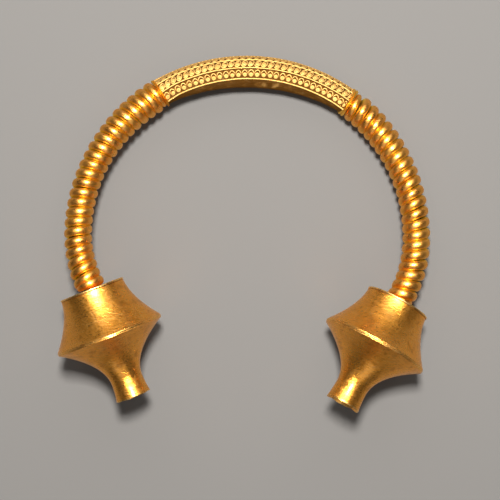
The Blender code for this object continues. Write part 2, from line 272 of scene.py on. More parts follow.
@dataclass
class ArmPath:
    """Places a point given along an arm, across it and over it."""

    ring: Ring
    arm: Arm
    swell_reach: float = 40.0 * DEG
    end_reach: float = 20.0 * DEG
    outer_radius: float = 8.8 * MM

    def __post_init__(self) -> None:
        """Works out the arm's length and how its end turns to meet the terminal."""
        self.length = abs(self.arm.end_angle - self.arm.collar_angle) * self.ring.radius
        flat_end = self.ring.along(self.arm.end_angle) * self.arm.way
        self.end_turn = flat_end.rotation_difference(self.arm.terminal.axis())

    def angle(self, run: float) -> float:
        """The ring's angle at a run along the arm."""
        return self.arm.collar_angle + self.arm.way * run / self.ring.radius

    def swelling(self, run: float) -> float:
        """1 at the collar, 0 once the swollen stretch is past."""
        return 1.0 - smoothstep(run / (self.swell_reach * self.ring.radius))

    def nearing_end(self, run: float) -> float:
        """0 along the arm, rising to 1 at the terminal."""
        reach = self.end_reach * self.ring.radius
        return smoothstep((run - self.length + reach) / reach)

    def centre(self, run: float) -> Vector:
        """Finds the arm's centre line.

        Args:
            run: How far along the arm.

        Returns:
            The point, in the ring's frame.
        """
        angle = self.angle(run)
        past = max(0.0, (angle - self.arm.curl_start) * self.arm.way)
        inward = self.arm.curl * past * past + self.arm.sink * self.swelling(run) - self.arm.bow
        return self.ring.radial(angle) * (self.ring.radius - inward)

    def axes(self, run: float) -> tuple[Vector, Vector, Vector]:
        """Finds which way the arm faces.

        Args:
            run: How far along the arm.

        Returns:
            Directions along the arm, up out of the plane, and sideways.
        """
        turn = Quaternion().slerp(self.end_turn, self.nearing_end(run))
        along = turn @ (self.ring.along(self.angle(run)) * self.arm.way)
        over = turn @ UP
        return along, over, along.cross(over)

    def girth(self, run: float) -> float:
        """The winding's outer radius."""
        swollen = self.arm.swell * self.swelling(run) + self.arm.end_swell * self.nearing_end(run)
        return self.outer_radius + swollen


# ---- shader recipes


class Tone:
    """A value in a material that Python's arithmetic works on."""

    def __init__(self, recipe: "Recipe", socket: bpy.types.NodeSocket) -> None:
        """Wraps one output socket."""
        self.recipe = recipe
        self.socket = socket

    def _math(self, operation: str, first: "Tone | float", second: "Tone | float") -> "Tone":
        """Adds one Math node."""
        return self.recipe.node("ShaderNodeMath", {"operation": operation}, {0: first, 1: second})

    def __add__(self, other: "Tone | float") -> "Tone":
        """self + other."""
        return self._math("ADD", self, other)

    def __sub__(self, other: "Tone | float") -> "Tone":
        """self - other."""
        return self._math("SUBTRACT", self, other)

    def __rsub__(self, other: float) -> "Tone":
        """other - self."""
        return self._math("SUBTRACT", other, self)

    def __mul__(self, other: "Tone | float") -> "Tone":
        """self * other."""
        return self._math("MULTIPLY", self, other)

    __radd__ = __add__
    __rmul__ = __mul__

    def held(self, low: float = 0.0, high: float = 1.0) -> "Tone":
        """Keeps the value between low and high."""
        return self.recipe.node("ShaderNodeClamp", {}, {"Value": self, "Min": low, "Max": high})

    def between(self, low: float, high: float) -> "Tone":
        """0 up to low, easing to 1 at high."""
        return self.recipe.node("ShaderNodeMapRange", {"interpolation_type": "SMOOTHSTEP"},
                                {"Value": self, "From Min": low, "From Max": high})


class Recipe:
    """A material under construction."""

    def __init__(self, name: str) -> None:
        """Starts an empty node tree.

        Args:
            name: The material's name.
        """
        self.material = bpy.data.materials.new(name)
        self.material.use_nodes = True
        self.tree = self.material.node_tree
        self.tree.nodes.clear()

    def node(self, kind: str, settings: dict | None = None, sockets: dict | None = None,
             out: int | str = 0) -> Tone | None:
        """Adds a node.

        Args:
            kind: The node's type.
            settings: Its properties, set before anything is plugged in.
            sockets: Values or tones for its inputs, by name or number.
            out: The output to hand back.

        Returns:
            The chosen output as a tone, or None where the node has no outputs.
        """
        made = self.tree.nodes.new(kind)
        for key, value in (settings or {}).items():
            setattr(made, key, value)
        for key, value in (sockets or {}).items():
            if isinstance(value, Tone):
                self.tree.links.new(value.socket, made.inputs[key])
            else:
                made.inputs[key].default_value = value
        return Tone(self, made.outputs[out]) if made.outputs else None

    def blend(self, share: Tone, first: Tone | Triple, second: Triple) -> Tone:
        """Blends two colours.

        Args:
            share: How much of the second shows.
            first: The colour under it.
            second: The colour over it.

        Returns:
            The blended colour.
        """
        under = first if isinstance(first, Tone) else (*first, 1.0)
        return self.node("ShaderNodeMix", {"data_type": "RGBA"},
                         {0: share, 6: under, 7: (*second, 1.0)}, out=2)

    def spots(self, place: Tone, scale: float = 1.0, detail: float = 3.0,
              roughness: float = 0.55) -> Tone:
        """Cloudy noise around 0.5."""
        return self.node("ShaderNodeTexNoise", {}, {"Vector": place, "Scale": scale,
                                                    "Detail": detail, "Roughness": roughness})

    def stretched(self, place: Tone, turn: Triple, scale: Triple) -> Tone:
        """The same place, turned and stretched."""
        return self.node("ShaderNodeMapping", {"vector_type": "POINT"},
                         {"Vector": place, "Rotation": turn, "Scale": scale})

    def lines(self, place: Tone, width: float) -> Tone:
        """Thin lines: 1 on them, 0 off them."""
        edge = self.node("ShaderNodeTexVoronoi", {"feature": "DISTANCE_TO_EDGE"},
                         {"Vector": place, "Scale": 1.0, "Randomness": 1.0})
        return 1.0 - edge.between(0.0, width)

    def mark(self, name: str) -> Tone:
        """What was marked on the mesh under this name."""
        return self.node("ShaderNodeAttribute", {"attribute_name": name}, out="Fac")

    def finished(self, sockets: dict) -> bpy.types.Material:
        """Ends the material with a Principled shader.

        Args:
            sockets: Values or tones for the shader's inputs.

        Returns:
            The material.
        """
        shader = self.node("ShaderNodeBsdfPrincipled", {}, sockets)
        self.node("ShaderNodeOutputMaterial", {}, {"Surface": shader})
        return self.material


# How each set of brush strokes is turned and stretched, and each set of scratches, with its width.
BRUSH_STROKES = (((0.3, 0.2, 0.9), (90.0, 1700.0, 1700.0)),
                 ((0.1, 0.5, -0.6), (110.0, 1500.0, 1500.0)))
SCRATCHES = (((0.4, 0.1, 0.5), (40.0, 190.0, 120.0), 0.035),
             ((0.2, 0.7, -0.8), (30.0, 230.0, 160.0), 0.03))


@dataclass(frozen=True)
class GoldFinish:
    """A finish of the gold: tones, gloss, marks of use, and painted shade, glow and highlights."""

    name: str
    slot: str
    tone: Triple
    # The colour that painted shading of hollows blends towards, also the far end of random
    # unevenness of tone.
    deep: Triple
    # The lighter colour of wear, brush strokes and scratches, and of the highlights painted on the
    # terminals' rims and the discs' edges.
    wear_and_sheen: Triple
    stain: Triple
    gloss: float
    unevenness: float
    stains: float
    brushing: float
    scratches: float
    ripples: float
    drawing: float
    grime: float
    coat: float
    relief_depth: float = 0.12 * MM
    reflection: Triple = (1.0, 0.8, 0.5)

    def dress(self) -> bpy.types.Material:
        """Builds the material.

        Returns:
            The finished gold.
        """
        recipe = Recipe(self.name)
        place = recipe.node("ShaderNodeTexCoord", out="Object")
        hollow_shading = recipe.mark("hollow_shading")
        wear_and_sheen = recipe.mark("wear_and_sheen")
        cloud = recipe.spots(place, 75.0)
        patch = recipe.spots(place, 210.0, roughness=0.6)
        grain = recipe.spots(place, 1500.0)
        strokes = [recipe.spots(recipe.stretched(place, turn, scale))
                   for turn, scale in BRUSH_STROKES]
        brushed = strokes[0] + strokes[1]
        cuts = [recipe.lines(recipe.stretched(place, turn, scale), width)
                for turn, scale, width in SCRATCHES]
        broken = recipe.spots(place, 130.0, 1.0).between(0.52, 0.62)
        scratched = ((cuts[0] + cuts[1]) * broken).held()

        # Painted shading of hollows, plus random unevenness of tone, blends the colour towards the
        # deep colour.
        shade = (hollow_shading + (cloud - 0.5) * self.unevenness).held()
        colour = recipe.blend(shade, self.tone, self.deep)
        colour = recipe.blend(patch.between(0.5, 0.72) * self.stains, colour, self.stain)
        # Lighter where worn, where highlights are painted on edges, and along brush strokes and
        # scratches.
        bright = wear_and_sheen + (brushed - 1.0) * self.brushing + scratched * 0.5 * self.scratches
        colour = recipe.blend(bright.held() * 0.85, colour, self.wear_and_sheen)
        rough = (self.gloss + (grain - 0.5) * 0.12 + (cloud - 0.5) * 0.14 + (brushed - 1.0) * 0.25
                 + (patch - 0.5) * 0.16 + hollow_shading * self.grime - wear_and_sheen * 0.05).held(0.08, 0.8)
        relief = (brushed * (0.6 * self.brushing) + scratched * (-1.0 * self.scratches)
                  + recipe.spots(place, 260.0, 2.0) * self.ripples + grain * 0.05)
        if self.drawing:
            across = recipe.mark("across") * 4.0 + cloud * 5.0
            drawn = recipe.node("ShaderNodeTexNoise", {"noise_dimensions": "1D"},
                                {"W": across, "Scale": 1.0, "Detail": 3.0, "Roughness": 0.7})
            relief = relief + drawn * self.drawing
            colour = recipe.blend(drawn.between(0.52, 0.66) * 0.35, colour, self.stain)
        bump = recipe.node("ShaderNodeBump", {}, {"Height": relief, "Strength": 0.6,
                                                  "Distance": self.relief_depth})
        return recipe.finished({
            "Base Color": colour, "Metallic": 1.0, "Roughness": rough, "Normal": bump,
            "Specular Tint": (*self.reflection, 1.0),
            "Coat Weight": (1.0 - hollow_shading) * self.coat, "Coat Roughness": 0.2})


# Deep colours: painted shade on the filigree's ground and the rods, a painted yellow reflection
# glow between the wire's turns; the sheet has no hollows, so there it only mottles.
FILIGREE = GoldFinish(
    name="filigree gold", slot="filigree_gold", tone=(0.69, 0.43, 0.135),
    deep=(0.17, 0.065, 0.007), wear_and_sheen=(0.80, 0.60, 0.30), stain=(0.62, 0.33, 0.075),
    gloss=0.62, unevenness=0.25, stains=0.35, brushing=0.25, scratches=0.3, ripples=0.6,
    drawing=0.0, grime=0.3, coat=0.0)
WIRE = GoldFinish(
    name="wire gold", slot="wire_gold", tone=(0.93, 0.40, 0.072),
    deep=(0.90, 0.73, 0.125), wear_and_sheen=(1.0, 0.78, 0.36), stain=(0.74, 0.38, 0.055),
    gloss=0.33, unevenness=0.6, stains=0.8, brushing=0.3, scratches=0.4, ripples=1.0,
    drawing=2.0, grime=0.05, coat=0.3)
SHEET = GoldFinish(
    name="sheet gold", slot="sheet_gold", tone=(0.96, 0.405, 0.052),
    deep=(0.60, 0.225, 0.023), wear_and_sheen=(1.0, 0.66, 0.22), stain=(0.57, 0.21, 0.02),
    gloss=0.32, unevenness=1.0, stains=0.8, brushing=1.1, scratches=0.5, ripples=0.8,
    drawing=1.9, grime=0.1, coat=0.35)


# ---- shaping


class Form:
    """A mesh being shaped in the ring's frame."""

    def __init__(self) -> None:
        """Starts an empty mesh with room for its marks."""
        self.bm = bmesh.new()
        for name in ("hollow_shading", "wear_and_sheen", "across"):
            self.bm.verts.layers.float.new(name)

    def layer(self, name: str) -> bmesh.types.BMLayerItem:
        """One of the marks that each point carries."""
        return self.bm.verts.layers.float[name]

    def cap(self, verts: Iterable[bmesh.types.BMVert]) -> None:
        """Closes each open rim among these points."""
        rims = dict.fromkeys(edge for vert in verts if vert.is_valid
                             for edge in vert.link_edges if edge.is_boundary)
        bmesh.ops.edgeloop_fill(self.bm, edges=list(rims))

    def sweep(self, sides: int, steps: int, place: Callable[[int, float], Vector],
              hollow_shading: Callable[[int, float], float] | None = None, closed: bool = False) -> None:
        """Rolls a sheet of faces up into a tube along a course.

        Args:
            sides: Faces round the tube.
            steps: Rings of points, the first and last included.
            place: Where a point goes, by its step and its share of the way round.
            hollow_shading: How deep in a hollow it lies, and so how much painted shading it takes,
                from 0 to 1.
            closed: Whether the last ring meets the first, instead of both being capped.
        """
        deep, across = self.layer("hollow_shading"), self.layer("across")
        sheet = bmesh.ops.create_grid(self.bm, x_segments=sides, y_segments=steps - 1,
                                      size=0.5)["verts"]
        for vert in sheet:
            around = round((vert.co.x + 0.5) * sides) % sides / sides
            step = round((vert.co.y + 0.5) * (steps - 1))
            vert.co = place(step, around)
            vert[deep] = hollow_shading(step, around) if hollow_shading else 0.0
            vert[across] = spoke(around)[1]
        bmesh.ops.remove_doubles(self.bm, verts=sheet, dist=SEAM)
        if not closed:
            self.cap(sheet)

    def spun(self, profile: Sequence[Pair], steps: int) -> list[bmesh.types.BMVert]:
        """Spins a profile about Z and closes its seam and its poles.

        Args:
            profile: Radius and height of each point.
            steps: Faces round the axis.

        Returns:
            The points that it made.
        """
        before = set(self.bm.verts)
        verts = [self.bm.verts.new((radius, 0.0, height)) for radius, height in profile]
        edges = [self.bm.edges.new(pair) for pair in zip(verts, verts[1:])]
        bmesh.ops.spin(self.bm, geom=verts + edges, cent=(0.0, 0.0, 0.0), axis=UP, angle=TURN,
                       steps=steps, use_merge=True)
        made = [vert for vert in self.bm.verts if vert not in before]
        bmesh.ops.remove_doubles(self.bm, verts=made, dist=WELD)
        return [vert for vert in made if vert.is_valid]

    def turned(self, profile: Sequence[Pair], steps: int, stand: Matrix,
               wear_and_sheen: Callable[[Vector], float],
               shape: Callable[[Vector], Vector] | None = None) -> None:
        """Turns a profile about Z and stands it in its place.

        Args:
            profile: Radius and height of each point, from pole to pole.
            steps: Faces round the axis.
            stand: The move to its place once turned.
            wear_and_sheen: How worn each point is, with painted highlights on edges, from 0 to 1.
            shape: Moves each point a little first, for dents and wear.
        """
        for vert in self.spun(profile, steps):
            vert[self.layer("wear_and_sheen")] = wear_and_sheen(vert.co)
            vert[self.layer("across")] = vert.co.z / (2.0 * MM)
            vert.co = stand @ (shape(vert.co) if shape else vert.co)

    def add(self, pattern: bpy.types.Mesh, bend: Callable[[Vector], Vector]) -> None:
        """Adds a copy of a pattern.

        Args:
            pattern: The pattern, flat.
            bend: Takes each of its points to its place on the work.
        """
        copy = bmesh.new()
        copy.from_mesh(pattern)
        for vert in copy.verts:
            vert.co = bend(vert.co)
        bent = bpy.data.meshes.new("bent")
        copy.to_mesh(bent)
        copy.free()
        self.bm.from_mesh(bent)
        bpy.data.meshes.remove(bent)

    def as_mesh(self, name: str) -> bpy.types.Mesh:
        """Ends the shaping.

        Args:
            name: The mesh's name.

        Returns:
            The mesh.
        """
        mesh = bpy.data.meshes.new(name)
        self.bm.to_mesh(mesh)
        self.bm.free()
        return mesh

    def lay(self, name: str, ring: Ring, finish: GoldFinish, sharp: float = 50.0,
            stands_for: str = "") -> None:
        """Lays the finished piece on the floor.

        Args:
            name: The piece's name.
            ring: The plane that it was shaped in.
            finish: Its gold.
            sharp: Edges over this many degrees stay crisp.
            stands_for: The solid that it is shown in place of, if any.
        """
        bmesh.ops.recalc_face_normals(self.bm, faces=self.bm.faces)
        bmesh.ops.transform(self.bm, matrix=ring.lying(), verts=self.bm.verts)
        for vert in self.bm.verts:
            vert.co.z = max(vert.co.z, 0.0)
        mesh = self.as_mesh(name)
        mesh.shade_smooth()
        mesh.set_sharp_from_angle(angle=sharp * DEG)
        mesh.materials.append(bpy.data.materials.get(finish.name) or finish.dress())
        piece = put(name, mesh)
        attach(piece, "root")
        if stands_for:
            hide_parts(stands_for)
        LOG.info("%s: %d faces", name, len(mesh.polygons))


# ---- the bar


class Row(Enum):
    """A band of filigree between two border wires.

    Each holds its two edges, as turns round the bar's section, and how far its units set off
    behind the circles.
    """

    CIRCLES = (-18.0 * DEG, 18.0 * DEG, 0.0)
    PLAIT = (18.0 * DEG, 50.6 * DEG, 0.1 * DEG)
    RIM = (50.6 * DEG, 90.0 * DEG, 0.5 * DEG)

    def __init__(self, start: float, end: float, slip: float) -> None:
        """Names the three values.

        Args:
            start: The edge nearer the ring's inner side.
            end: The edge nearer its rim.
            slip: How far it sets off behind the circles.
        """
        self.start = start
        self.end = end
        self.slip = slip
        self.middle = 0.5 * (start + end)


@dataclass(frozen=True)
class Boss:
    """A flattened boss with a small dimple.

    It has its place across the row, its radius and how far its top lies under the crest. Its
    profile gives shares of the radius and heights in millimetres.
    """

    middle: float
    radius: float
    drop: float
    profile: tuple[Pair, ...] = ((0.0, -0.12), (0.2, -0.06), (0.42, 0.0), (0.85, 0.0),
                                 (0.97, -0.16), (1.0, -0.4), (1.0, -1.0))

    def draw(self, form: Form, crest: float, steps: int) -> None:
        """Adds the boss to a unit.

        Args:
            form: The unit.
            crest: How proud the filigree stands.
            steps: Faces round the boss.
        """
        points = [(share * self.radius, height * MM) for share, height in self.profile]
        made = form.spun(points, steps)
        form.cap(made)
        bmesh.ops.translate(form.bm, vec=(0.0, self.middle, crest - self.drop), verts=made)


@dataclass(frozen=True)
class Arch:
    """The unit of the row of circles: an arch of wire over a boss."""

    wire: float = 0.40 * MM
    half_width: float = 1.62 * MM
    height: float = 2.16 * MM
    foot: float = -0.2 * MM
    start: float = -50.0 * DEG
    sweep: float = 280.0 * DEG
    pinch: float = 0.22
    leg_drop: float = 0.5 * MM
    leg_thinning: float = 0.25
    flattened: float = 0.9
    # Its top sits low enough to take a little painted shade of hollows.
    boss: Boss = Boss(-1.0 * MM, 1.56 * MM, 0.42 * MM)

    def draw(self, form: Form, crest: float, sides: int, steps: int) -> None:
        """Draws the unit.

        Args:
            form: Where it goes.
            crest: How proud the filigree stands.
            sides: Faces round the wire.
            steps: Rings of points along it.
        """

        def place(step: int, around: float) -> Vector:
            """A point of the wire.

            Args:
                step: The ring of points that it is in.
                around: Its share of the way round.

            Returns:
                The point, flat.
            """
            turn = self.start + self.sweep * step / (steps - 1)
            cos, sin = spoke(around)
            rise = math.sin(turn)
            pinch = 1.0 - self.pinch * max(rise, 0.0) ** 3
            centre = Vector((self.half_width * math.cos(turn) * pinch,
                             self.foot + self.height * rise, 0.0))
            drop = self.leg_drop * smoothstep(0.5 - 1.2 * rise)
            thick = self.wire * (1.0 - self.leg_thinning * smoothstep(0.3 - rise))
            out = Vector((math.cos(turn), rise, 0.0))
            proud = crest - self.wire - drop + thick * min(cos, self.flattened)
            return centre + out * thick * sin + UP * proud

        form.sweep(sides, steps, place)
        self.boss.draw(form, crest, 2 * sides)


@dataclass(frozen=True)
class Scroll:
    """The unit of the other rows: a leaning scroll of wire that curls in round a low boss."""

    widened: float
    wire: float = 0.46 * MM
    lean: float = 44.0 * DEG
    half_length: float = 2.15 * MM
    half_width: float = 1.4 * MM
    start: float = 150.0 * DEG
    sweep: float = 430.0 * DEG
    curl_from: float = 0.6
    curl: float = 0.5
    sink: float = 0.10 * MM
    thickness: Pair = (1.2, 0.35)
    flattened: float = 0.8
    boss: Boss = Boss(0.0, 1.35 * MM, 0.3 * MM)

    def draw(self, form: Form, crest: float, sides: int, steps: int) -> None:
        """Draws the unit.

        Args:
            form: Where it goes.
            crest: How proud the filigree stands.
            sides: Faces round the wire.
            steps: Rings of points along it.
        """
        lean = Matrix.Rotation(self.lean, 3, "Z")

        def place(step: int, around: float) -> Vector:
            """A point of the wire.

            Args:
                step: The ring of points that it is in.
                around: Its share of the way round.

            Returns:
                The point, flat.
            """
            share = step / (steps - 1)
            turn = self.start + self.sweep * share
            cos, sin = spoke(around)
            shrink = 1.0 - self.curl * smoothstep((share - self.curl_from) / 0.4)
            long, short = self.half_length * shrink, self.half_width * shrink
            centre = Vector((long * math.cos(turn), short * math.sin(turn), 0.0))
            out = Vector((math.cos(turn) / long, math.sin(turn) / short, 0.0)).normalized()
            sunk = self.sink * smoothstep((share - self.curl_from) / 0.3)
            thick = self.wire * (self.thickness[0] - self.thickness[1] * share)
            spot = lean @ (centre + out * thick * sin)
            proud = crest - self.wire - sunk + thick * min(cos, self.flattened)
            return Vector((spot.x, spot.y * self.widened, proud))

        form.sweep(sides, steps, place)
        self.boss.draw(form, crest, sides)


@dataclass
class Bar:
    """The ornamented middle of the hoop and the rods that carry the windings."""

    ring: Ring
    units: int = 30
    pitch: float = 2.213 * DEG
    first_unit: float = 119.41 * DEG
    face_start: float = 119.9 * DEG
    face_reach: float = 66.9 * DEG
    squeeze: float = 0.45
    squeezed_in: float = 0.58 * DEG
    size_play: float = 0.05
    spin_play: float = 10.0 * DEG
    shift_play: Pair = (0.14 * MM, 0.10 * MM)
    height_play: float = 0.10
    worn_left: float = 0.25
    flattening: float = 0.5 * MM
    oval_centre: float = -2.8 * MM
    oval_depth: float = 11.0 * MM
    oval_height: float = 8.8 * MM
    outer_part: float = 0.7
    bulge: Pair = (1.8 * MM, 5.0 * MM)
    bulge_play: float = 0.12 * MM
    twist: Pair = (6.0 * DEG, 5.0 * DEG)
    twisted_end: float = 0.1
    ground: float = -1.0 * MM
    crest: float = 0.5 * MM
    # Painted shade of the filigree's hollows begins this far under the crest and deepens over the
    # next span.
    bright: float = 0.25 * MM
    darkening: float = 0.65 * MM
    border_play: Pair = (0.10, 0.07 * MM)
    # Painted shade over the inner side, lifted at the scuffs below.
    inner_painted_shade: float = 0.93
    scuff_shine: float = 0.8
    scuffs: tuple[Pair, ...] = ((54.4, 0.945), (55.2, 0.93), (60.4, 0.925), (61.2, 0.945),
                                (62.0, 0.96))
    scuff_reach: Pair = (0.8, 0.02)
    rod_start: float = 5.0 * MM
    rod_rise: float = 0.3 * MM

    def oval(self, turn: float, proud: float) -> Pair:
        """Finds a point on the outer side.

        Args:
            turn: Its turn round the section.
            proud: How far it stands out.

        Returns:
            Its depth along the radius and its height.
        """
        normal = Vector((self.oval_height * math.sin(turn),
                         self.oval_depth * math.cos(turn))).normalized()
        return (self.oval_centre + self.oval_depth * math.sin(turn) + normal.x * proud,
                self.oval_height * math.cos(turn) + normal.y * proud)

    def stretch(self, turn: float) -> float:
        """Length along the section for each radian of turn."""
        return math.hypot(self.oval_depth * math.cos(turn), self.oval_height * math.sin(turn))

    def twisted(self, share: float, turn: float) -> float:
        """Twists the face that shows in towards the left end.

        Args:
            share: How far along the bar.
            turn: The turn before the twist.

        Returns:
            The turn after it.
        """
        left = max(0.0, 1.0 - share)
        near_end = max(0.0, 1.0 - share / self.twisted_end)
        inward = self.twist[0] * left ** 1.8 + self.twist[1] * near_end ** 2
        return turn - inward * 0.5 * (1.0 + math.cos(turn))

    def outline(self, share: float, around: float, proud: float) -> Pair:
        """Follows the section's outline.

        Args:
            share: How far along the bar.
            around: The share of the way round, over the outer side and back by the inner one.
            proud: How far the point stands out.

        Returns:
            Its depth and its height.
        """
        edge = Row.CIRCLES.start
        if around <= self.outer_part:
            turn = edge + (math.pi - 2.0 * edge) * around / self.outer_part
            return self.oval(self.twisted(share, turn), proud)
        near = self.oval(self.twisted(share, edge), 0.0)
        far = self.oval(self.twisted(share, math.pi - edge), 0.0)
        across = (around - self.outer_part) / (1.0 - self.outer_part)
        swell = (self.bulge[1] - self.bulge[0]) * math.sin(math.pi * clamped(share))
        belly = self.bulge[0] + swell
        belly += self.bulge_play * wobble(3.0, 18.0 * share + across) + proud
        return (far[0] + (near[0] - far[0]) * across - belly * 4.0 * across * (1.0 - across),
                far[1] + (near[1] - far[1]) * across)

    def place(self, share: float, depth: float, height: float,
              angle: float | None = None) -> Vector:
        """Finds a point of the bar, share running from 0 at its left end to 1 at its right.

        Args:
            share: How far along the bar.
            depth: Out along the radius from the ring's own circle.
            height: Up out of the ring's plane.
            angle: The ring's angle, where it isn't the share's own.

        Returns:
            The point, in the ring's frame.
        """
        ends = [arm.bar_end.angle + arm.bar_end.along(depth, height) / (self.ring.radius + depth)
                for arm in (LEFT, RIGHT)]
        turned = ends[0] + (ends[1] - ends[0]) * share if angle is None else angle
        bent = math.sin(math.pi * clamped(share) ** 0.75)
        radius = self.ring.radius - self.flattening * bent + depth
        return self.ring.radial(turned) * radius + UP * height

    def share(self, angle: float) -> float:
        """The share of the bar's length at an angle, at the middle of the face that shows."""
        return (self.face_start - angle) / self.face_reach

    def outer(self, share: float, turn: float, proud: float, angle: float | None = None) -> Vector:
        """A point on or over the ornamented side."""
        return self.place(share, *self.oval(self.twisted(share, turn), proud), angle)

    def build_core(self) -> None:
        """Builds the plain body under the filigree, and the rods inside the windings."""
        form = Form()
        sides, steps = 110, 100

        def body(step: int, around: float) -> Vector:
            """A point of the body."""
            proud = self.ground if around < self.outer_part else 0.0
            return self.place(step / steps, *self.outline(step / steps, around, proud))

        def painted_shade(step: int, around: float) -> float:
            """Painted shade: dark under the filigree, and on the inner side but for its scuffs.

            Args:
                step: The ring of points that it is in.
                around: Its share of the way round.

            Returns:
                How dark the painted shade makes the point, from 0 to 1.
            """
            if 0.01 < around < self.outer_part - 0.01:
                return 1.0
            scuffed = sum(math.exp(-((step - along) / self.scuff_reach[0]) ** 2
                                   - ((around - across) / self.scuff_reach[1]) ** 2)
                          for along, across in self.scuffs)
            return max(0.0, self.inner_painted_shade - self.scuff_shine * scuffed)

        form.sweep(sides, steps + 1, body, painted_shade)
        for arm in (LEFT, RIGHT):
            self.draw_rod(form, arm)
        form.lay("hoop_core", self.ring, FILIGREE, stands_for="hoop")

    def draw_rod(self, form: Form, arm: Arm) -> None:
        """Draws the rod inside one winding.

        Args:
            form: The core that it joins.
            arm: The arm that it carries.
        """
        path = ArmPath(self.ring, arm)
        reach = path.length + self.rod_start - 0.5 * DISC_THICKNESS
        sides, steps = 28, 60

        def place(step: int, around: float) -> Vector:
            """A point of the rod.

            Args:
                step: The ring of points that it is in.
                around: Its share of the way round.

            Returns:
                The point, in the ring's frame.
            """
            run = reach * step / steps - self.rod_start
            _, over, across = path.axes(run)
            cos, sin = spoke(around)
            radius = path.girth(max(run, 0.0)) - WIRE_THICKNESS + self.rod_rise
            return path.centre(run) + (over * cos + across * sin) * radius

        # The rods take the full painted shade of hollows.
        form.sweep(sides, steps + 1, place, lambda step, around: 1.0)

    def draw_border(self, form: Form, turn: float, radius: float, seed: float) -> None:
        """Solders one border wire along the bar.

        Args:
            form: The filigree that it joins.
            turn: Where it runs round the section.
            radius: Half its thickness.
            seed: Sets its own unevenness.
        """
        sides, steps = 10, 240
        middle = self.crest - radius

        def place(step: int, around: float) -> Vector:
            """A point of the wire.

            Args:
                step: The ring of points that it is in.
                around: Its share of the way round.

            Returns:
                The point, in the ring's frame.
            """
            share = step / steps
            cos, sin = spoke(around)
            thick = radius * (1.0 + self.border_play[0] * wobble(seed, 70.0 * share))
            sway = self.border_play[1] * wobble(seed + 5.0, 40.0 * share)
            across = (sway + thick * sin) / self.stretch(turn)
            return self.outer(share, turn + across, middle + thick * cos)

        form.sweep(sides, steps + 1, place,
                   lambda step, around: self.depth_mark(middle + radius * spoke(around)[0]))

    def depth_mark(self, proud: float) -> float:
        """How hollow a point of the filigree is, and so how much painted shade it takes, by how
        proud it stands.
        """
        return smoothstep((self.crest - self.bright - proud) / self.darkening)

    def solder(self, form: Form, pattern: bpy.types.Mesh, row: Row, under: bool) -> None:
        """Solders a row of one pattern, each unit a little different.

        On the face that shows, one more unit is squeezed in before the right collar.

        Args:
            form: The filigree that it joins.
            pattern: The unit that it repeats.
            row: The band that it fills.
            under: Whether it goes on the hidden face.
        """
        around = self.ring.radius + self.oval(row.middle, 0.0)[0]
        for unit in range(self.units if under else self.units + 1):
            squeezed = unit == self.units
            narrow, ahead = (self.squeeze, self.squeezed_in) if squeezed else (1.0, 0.0)
            seed = unit + 40.0 * row.middle
            size = 1.0 + self.size_play * wobble(seed, 0.3)
            spin = Matrix.Rotation(self.spin_play * wobble(seed, 4.1), 3, "Z")
            shift = Vector((self.shift_play[0] * wobble(seed, 8.2),
                            self.shift_play[1] * wobble(seed, 12.4), 0.0))
            low = (1.0 - self.worn_left * smoothstep((3.0 - unit) / 4.0)
                   - self.height_play * abs(wobble(seed, 16.0)))

            def bend(spot: Vector) -> Vector:
                """Takes a point of the pattern to its place on the bar.

                Args:
                    spot: The point, flat.

                Returns:
                    The point, in the ring's frame.
                """
                moved = spin @ Vector((spot.x, spot.y, 0.0)) * size + shift
                turn = row.middle + moved.y / self.stretch(row.middle)
                angle = (self.first_unit - unit * self.pitch + ahead - moved.x * narrow / around
                         + row.slip)
                proud = spot.z
                if proud > self.ground:
                    proud = self.ground + (proud - self.ground) * low
                side = math.pi - turn if under else turn
                return self.outer(self.share(angle), side, proud, angle)

            form.add(pattern, bend)

    def pattern(self, unit: Arch | Scroll, sides: int, steps: int) -> bpy.types.Mesh:
        """Makes a unit of filigree, its low parts marked hollow for painted shade.

        Args:
            unit: The unit.
            sides: Faces round its wire.
            steps: Rings of points along it.

        Returns:
            The unit, flat.
        """
        form = Form()
        unit.draw(form, self.crest, sides, steps)
        deep = form.layer("hollow_shading")
        for vert in form.bm.verts:
            vert[deep] = self.depth_mark(vert.co.z)
        bmesh.ops.recalc_face_normals(form.bm, faces=form.bm.faces)
        return form.as_mesh("unit")

    def build_filigree(self) -> None:
        """Builds the border wires and the rows of circles and scrolls between them."""
        form = Form()
        wires = ((Row.CIRCLES.start, 0.58 * MM), (Row.PLAIT.start, 0.52 * MM),
                 (Row.RIM.start, 0.45 * MM), (Row.RIM.end, 0.55 * MM))
        for number, (turn, radius) in enumerate(wires):
            self.draw_border(form, turn, radius, number)
            if turn < Row.RIM.end:
                self.draw_border(form, math.pi - turn, radius, number + 10.0)
        for under, sides, steps in ((False, 8, 19), (True, 6, 12)):
            self.solder(form, self.pattern(Arch(), sides, steps), Row.CIRCLES, under)
            for row, width in ((Row.PLAIT, 1.1), (Row.RIM, 1.25)):
                scroll = self.pattern(Scroll(width), sides, 2 * steps - 5)
                self.solder(form, scroll, row, under)
        form.lay("hoop_filigree", self.ring, FILIGREE, sharp=60.0)


# ---- collars


